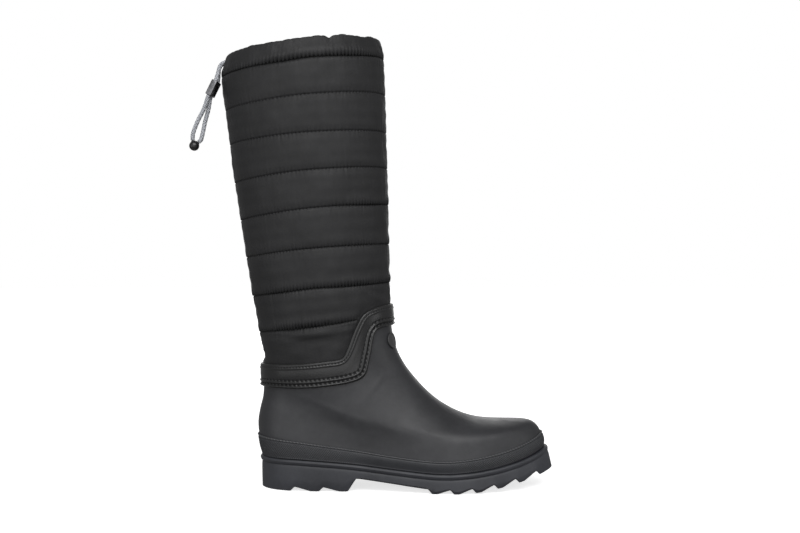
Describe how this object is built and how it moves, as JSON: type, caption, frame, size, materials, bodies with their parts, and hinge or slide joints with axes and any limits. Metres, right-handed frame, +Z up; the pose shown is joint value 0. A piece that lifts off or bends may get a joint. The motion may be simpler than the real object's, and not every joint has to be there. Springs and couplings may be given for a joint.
{
  "type": "insulated rubber boot",
  "caption": "Tall winter boot: moulded rubber foot on a lugged sole, quilted padded shaft, stitched joining band and a drawcord with a lock behind the collar.",
  "frame": {"origin": "on the floor, in the middle of the box round the boot without its drawcord", "axes": "+X from heel to toe, +Y to the inner side of the foot, +Z up the shaft"},
  "size_m": [0.3453, 0.1058, 0.422],
  "materials": {
    "sole_rubber": "matte",
    "insole_felt": "matte",
    "foot_rubber": "satin",
    "foxing_rubber": "matte, knurled",
    "quilted_nylon": "satin",
    "band_leather": "satin",
    "badge_rubber": "satin",
    "cord_braid": "matte",
    "lock_metal": "satin gunmetal",
    "ball_plastic": "gloss"
  },
  "bodies": {
    "root": {"outsole": "sole_rubber", "insole": "insole_felt", "rubber_foot": "foot_rubber", "foxing_strip": "foxing_rubber", "quilted_shaft": "quilted_nylon", "joining_band": "band_leather", "instep_badge": "badge_rubber", "drawcord_outer": "cord_braid", "drawcord_inner": "cord_braid", "cord_lock": "lock_metal", "cord_end_ball": "ball_plastic"}
  },
  "joints": []
}
